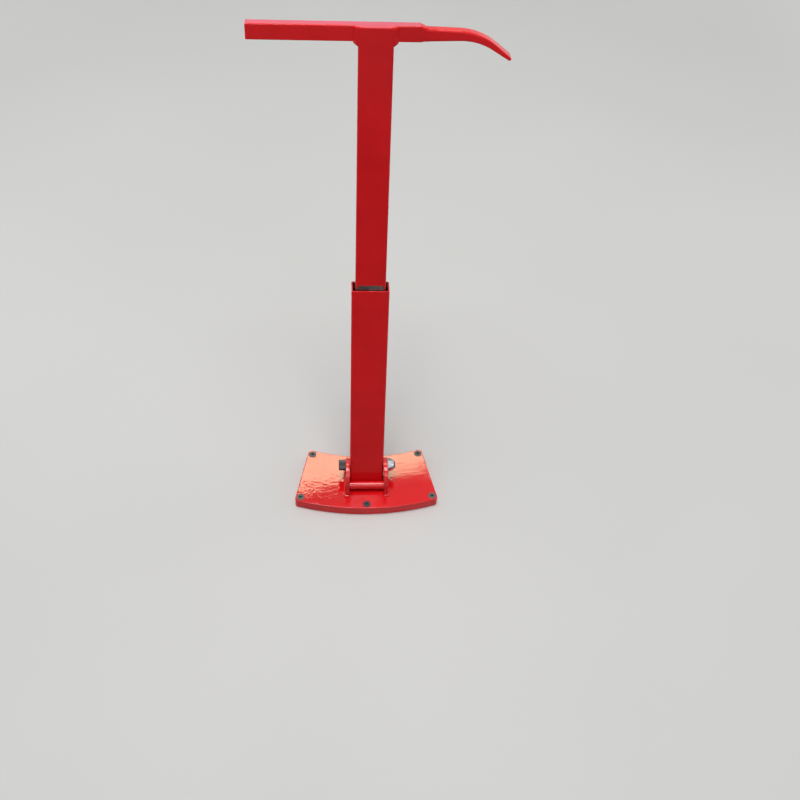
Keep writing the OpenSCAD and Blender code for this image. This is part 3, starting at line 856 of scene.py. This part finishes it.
def pick_seam():
    """A low ridge round the root of the pick, where its weld collar ends."""
    radius = 1.2 * MM
    sunk = radius - 0.4 * MM
    deep = 6.0 * MM - sunk
    high = 7.5 * MM - sunk
    corner = 3.0 * MM - sunk
    middle = on_handle(PICK_SEAM + 0.6 * MM, BAR_FRONT + 7.0 * MM, BAR_UNDER + 7.75 * MM)
    across = Vector((1.0, 0.0, 0.0))
    heading = BACK_OF_HANDLE.copy()
    bead, place = start_bead("pick_seam", middle + UP_HANDLE * high, heading, radius, 0.3)
    place = run_bead(place, heading, deep - corner - (place - middle).dot(heading), radius)
    for length in (2 * (high - corner), 2 * (deep - corner), 2 * (high - corner), deep - corner):
        inward = heading.cross(across)
        place, heading = turn_bead(place, heading, place + inward * corner, across, -math.pi / 2)
        place = run_bead(place, heading, length, radius)
    end_bead(bead, place, heading, radius, 0.3)
    dress(bead, HANDLE_RED, "red_paint", "handle")


def forged_pick():
    pick = copy_of_solid("pick", "forged_pick")
    round_edges(pick, PICK_ROUND, 3, sharper_than=50.0)
    even_shading(pick, 40.0)
    dress(pick, HANDLE_RED, "red_paint", "handle", "pick")
    collar = copy_of_solid("pick_weld", "pick_collar")
    even_shading(collar, 50.0)
    dress(collar, HANDLE_RED, "red_paint", "handle", "pick_weld")


painted_tube()
painted_bar()
bar_weld(-1, "bar_bead_left", "bar_weld_left")
bar_weld(1, "bar_bead_right", "bar_weld_right")
top_seam_weld()
forged_pick()
pick_seam()


# Floor, light and camera

WHITE = (1.0, 1.0, 1.0)
FLOOR_SIZE = 60.0
FLOOR_DROP = 0.2 * MM
FADE_STARTS = 1.3
FADE_ENDS = 3.8
SURROUND_LIGHTS = 0.32
LENS = 45.9
YAW = math.radians(5.955)
PITCH = math.radians(51.647)
ROLL = math.radians(-4.394)
CAMERA_AT = (-0.04812, -0.86751, 1.32152)


def pale_floor():
    clear_selection()
    bpy.ops.mesh.primitive_plane_add(size=FLOOR_SIZE, location=(0.0, 0.0, -FLOOR_DROP))
    floor = bpy.context.object
    floor.name = "studio_floor"
    bpy.ops.object.transform_apply(location=True, rotation=True, scale=True)
    finish, tree, shader, place = new_finish("pale_floor")
    shade = tones(tree, grain(tree, place, 1.3, 2.0), (0.3, (0.57, 0.57, 0.56)), (0.7, (0.60, 0.60, 0.59)))
    tree.links.new(shade, shader.inputs["Base Color"])
    shader.inputs["Roughness"].default_value = 0.7
    shader.inputs["Specular IOR Level"].default_value = 0.2
    # Far from the object the floor runs out into the white surround, where it is seen or mirrored
    away = tree.nodes.new("ShaderNodeVectorMath")
    away.operation = "LENGTH"
    tree.links.new(place, away.inputs[0])
    far = spread(tree, away.outputs["Value"], FADE_STARTS, FADE_ENDS, 0.0, 1.0, True)
    white = tree.nodes.new("ShaderNodeEmission")
    white.inputs["Color"].default_value = (*WHITE, 1.0)
    blend = tree.nodes.new("ShaderNodeMixShader")
    tree.links.new(sum_of(tree, far, seen_or_mirrored(tree), "MULTIPLY"), blend.inputs[0])
    tree.links.new(shader.outputs["BSDF"], blend.inputs[1])
    tree.links.new(white.outputs["Emission"], blend.inputs[2])
    tree.links.new(blend.outputs["Shader"], tree.nodes["Material Output"].inputs["Surface"])
    floor.data.materials.append(finish)


def seen_or_mirrored(tree):
    ray = tree.nodes.new("ShaderNodeLightPath")
    seen = sum_of(tree, ray.outputs["Is Camera Ray"], ray.outputs["Is Glossy Ray"], "MAXIMUM")
    return sum_of(tree, seen, ray.outputs["Is Transmission Ray"], "MAXIMUM")


def white_surround():
    """White where it is seen or mirrored, softer where it lights."""
    world = bpy.data.worlds.new("studio")
    bpy.context.scene.world = world
    world.use_nodes = True
    tree = world.node_tree
    tree.nodes.clear()
    seen = seen_or_mirrored(tree)
    background = tree.nodes.new("ShaderNodeBackground")
    background.inputs["Color"].default_value = (*WHITE, 1.0)
    tree.links.new(spread(tree, seen, 0.0, 1.0, SURROUND_LIGHTS, 1.0), background.inputs["Strength"])
    output = tree.nodes.new("ShaderNodeOutputWorld")
    tree.links.new(background.outputs["Background"], output.inputs["Surface"])


def soft_light(name, place, aim, wide, deep, watts, colour=WHITE, only_mirrored=False, turn=0.0):
    """An area light, aimed at a point, which can be kept out of all but mirrored light."""
    light = bpy.data.lights.new(name, "AREA")
    light.shape = "RECTANGLE"
    light.size = wide
    light.size_y = deep
    light.energy = watts
    light.color = colour
    lamp = bpy.data.objects.new(name, light)
    bpy.context.scene.collection.objects.link(lamp)
    lamp.location = place
    lamp.rotation_euler = (Vector(aim) - Vector(place)).to_track_quat("-Z", "Y").to_euler()
    lamp.rotation_euler.z += turn
    lamp.visible_camera = False
    lamp.visible_diffuse = not only_mirrored


def photo_camera():
    data = bpy.data.cameras.new("camera")
    data.sensor_width = 36.0
    data.lens = LENS
    data.clip_start = 0.01
    camera = bpy.data.objects.new("camera", data)
    bpy.context.scene.collection.objects.link(camera)
    level = Vector((math.sin(YAW), math.cos(YAW), 0.0))
    ahead = level * math.cos(PITCH) - Vector((0.0, 0.0, math.sin(PITCH)))
    right = Vector((math.cos(YAW), -math.sin(YAW), 0.0))
    down = ahead.cross(right)
    x_axis = right * math.cos(ROLL) + down * math.sin(ROLL)
    y_axis = right * math.sin(ROLL) - down * math.cos(ROLL)
    turned = Matrix((x_axis, y_axis, -ahead)).transposed().to_4x4()
    camera.matrix_world = Matrix.Translation(CAMERA_AT) @ turned
    bpy.context.scene.camera = camera


pale_floor()
white_surround()
soft_light("overhead_softbox", (-0.2, -0.05, 4.0), (0.0, 0.0, 0.0), wide=1.7, deep=1.3, watts=114.0)
soft_light("front_sky", (0.0, -2.3, 2.8), (0.0, 0.0, 0.2), wide=3.2, deep=1.2, watts=66.0, only_mirrored=True)
soft_light("left_softbox", (-2.2, 0.6, 1.2), (0.0, 0.05, 0.35), wide=1.2, deep=1.6, watts=7.0)
soft_light("right_softbox", (2.2, 0.6, 1.2), (0.0, 0.05, 0.35), wide=1.2, deep=1.6, watts=7.0)
soft_light(
    "back_softbox", (0.05, 1.27, 1.6), (0.05, 1.27, 0.0), wide=0.9, deep=0.4, watts=21.0,
    colour=(1.0, 0.93, 0.60), only_mirrored=True, turn=0.2)
soft_light(
    "rear_sky", (-0.2, 2.4, 1.05), (-0.2, 0.15, 0.7), wide=0.95, deep=0.6, watts=2.6,
    colour=(0.0, 0.6, 1.0), only_mirrored=True)
photo_camera()
bpy.context.scene.view_settings.view_transform = "Standard"
